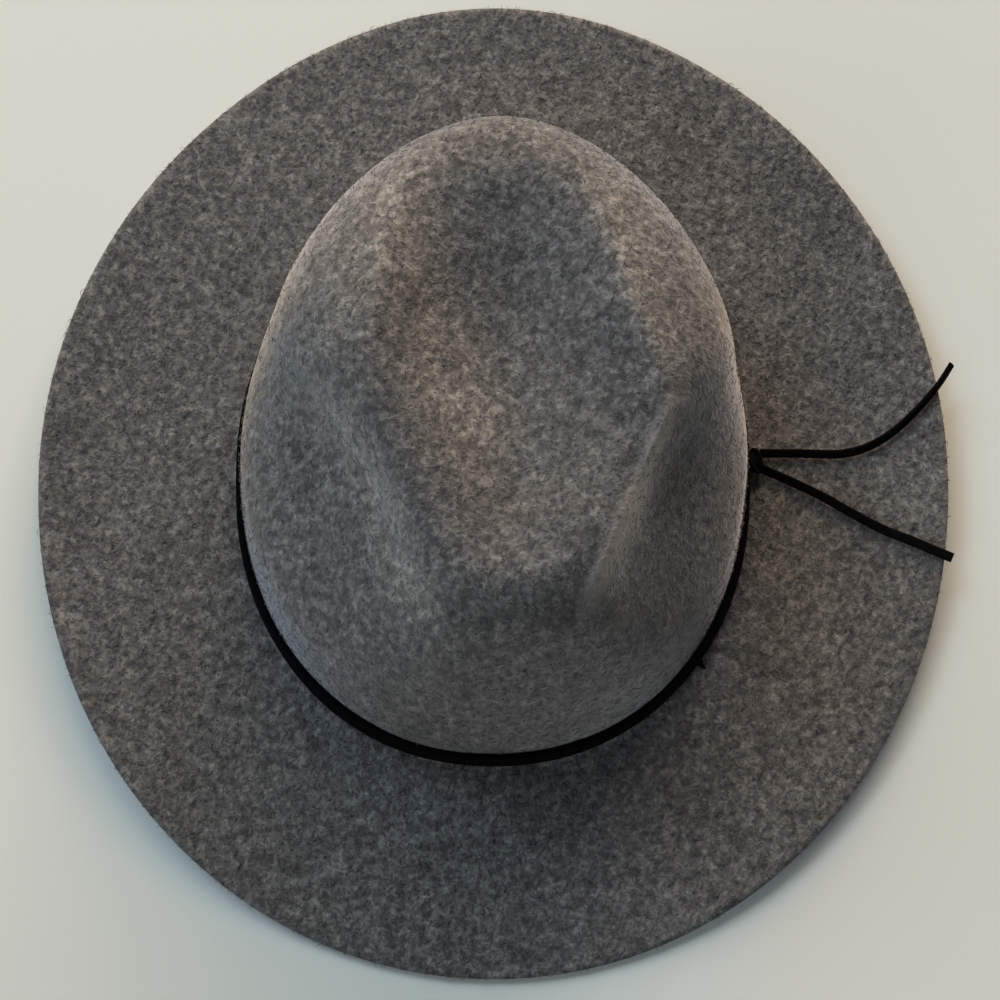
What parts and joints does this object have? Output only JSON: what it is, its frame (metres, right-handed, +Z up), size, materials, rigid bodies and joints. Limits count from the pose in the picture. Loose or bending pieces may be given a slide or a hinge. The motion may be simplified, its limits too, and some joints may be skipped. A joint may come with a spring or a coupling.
{
  "type": "felt fedora hat",
  "caption": "Wide-brim wool-felt fedora with a teardrop centre crease, front pinches, a nearly flat brim and a thin tied lace round the foot of the crown.",
  "frame": {"origin": "middle of the brim's outline, on the surface that the hat rests on", "axes": "+Z up out of the crown, -Y towards the front of the hat, +X towards the side with the tied lace"},
  "size_m": [0.3117, 0.3414, 0.1101],
  "materials": {
    "felt": "grey heathered pressed wool felt, matt and slightly hairy",
    "lace": "black suede lace, matt"
  },
  "bodies": {
    "root": {"felt_body": "felt", "band_lace": "lace", "knot": "lace", "tail_back": "lace", "tail_front": "lace"}
  },
  "joints": []
}
